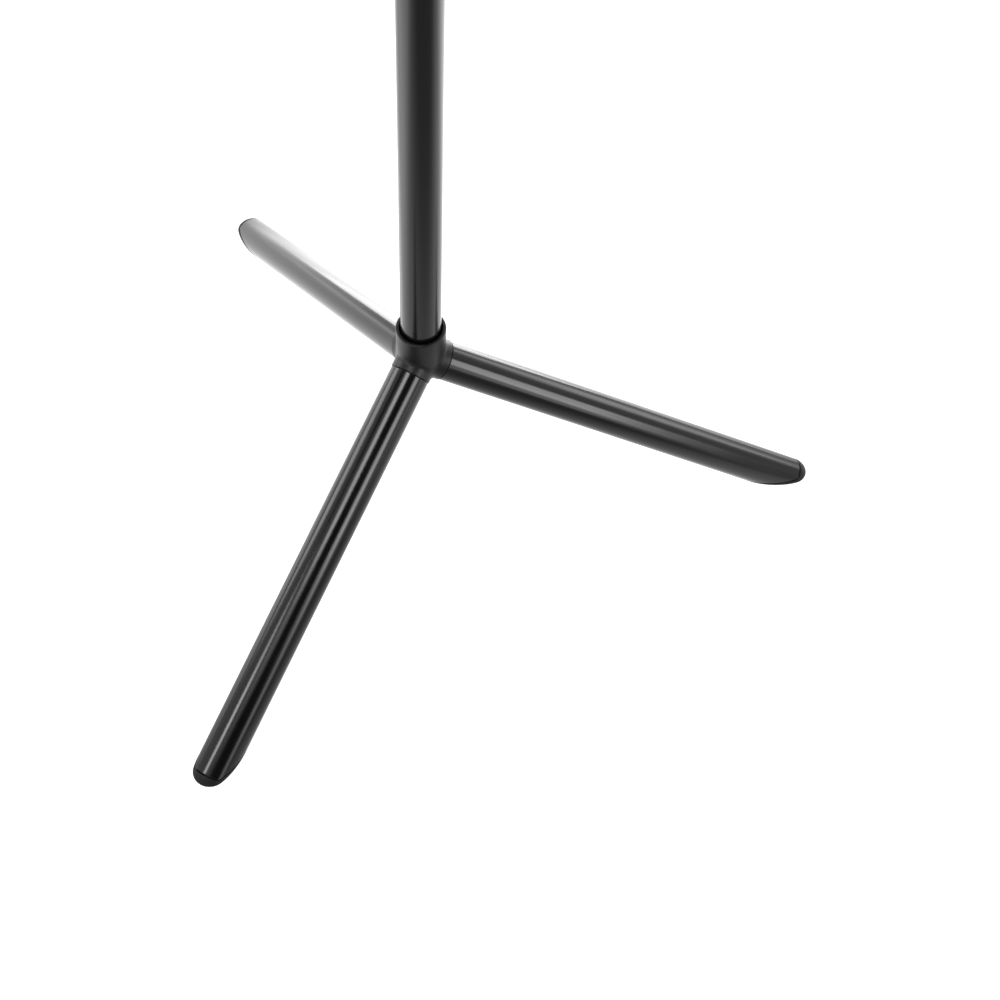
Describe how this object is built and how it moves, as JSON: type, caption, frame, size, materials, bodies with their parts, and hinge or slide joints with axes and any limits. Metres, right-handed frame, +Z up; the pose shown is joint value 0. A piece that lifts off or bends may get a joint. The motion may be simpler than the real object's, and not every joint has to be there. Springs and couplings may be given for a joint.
{
  "type": "trumpet stand",
  "caption": "Low tripod stand of round tube on a moulded hub, with mitred feet, a plain column and a padded cone that holds a trumpet by its bell.",
  "frame": {"origin": "on the floor, under the middle of the object's bounding box; the column's axis is 33 mm behind it (+Y)", "axes": "+Z up along the column, -Y towards the front leg, +X to the right seen from the front leg"},
  "size_m": [0.2416, 0.2108, 0.3378],
  "materials": {
    "tube_coat": "smooth black coating, satin to glossy, on steel tube",
    "hub_nylon": "fine-grained moulded black nylon",
    "sole_rubber": "matte black moulded rubber",
    "ring_rubber": "smooth black rubber",
    "plug_plastic": "plain moulded black plastic",
    "peg_plastic": "fine-grained moulded black plastic",
    "peg_felt": "black needled felt",
    "screw_steel": "bright zinc-plated steel"
  },
  "bodies": {
    "hub": {"hub_body": "hub_nylon", "leg_grip_ring_front": "ring_rubber", "leg_grip_ring_right": "ring_rubber", "leg_grip_ring_left": "ring_rubber"},
    "leg_front": {"leg_tube_front": "tube_coat", "foot_plug_front": "sole_rubber"},
    "leg_right": {"leg_tube_right": "tube_coat", "foot_plug_right": "sole_rubber"},
    "leg_left": {"leg_tube_left": "tube_coat", "foot_plug_left": "sole_rubber"},
    "column": {"column_tube": "tube_coat", "column_bottom_plug": "plug_plastic", "column_grip_ring": "ring_rubber", "column_top_plug": "plug_plastic", "peg_core": "peg_plastic", "peg_cover": "peg_felt", "peg_base_ring": "ring_rubber", "peg_top_cap": "peg_plastic", "peg_screw": "screw_steel", "peg_washer": "screw_steel"}
  },
  "joints": [
    {"name": "leg_front_pull_off", "type": "slide", "parent": "hub", "child": "leg_front", "axis": [0, -0.8838, -0.4679], "range_m": [0, 0.025]},
    {"name": "leg_right_pull_off", "type": "slide", "parent": "hub", "child": "leg_right", "axis": [0.7654, 0.4419, -0.4679], "range_m": [0, 0.025]},
    {"name": "leg_left_pull_off", "type": "slide", "parent": "hub", "child": "leg_left", "axis": [-0.7654, 0.4419, -0.4679], "range_m": [0, 0.025]},
    {"name": "column_lift_out", "type": "slide", "parent": "hub", "child": "column", "axis": [0, 0, 1], "range_m": [0, 0.024]}
  ]
}
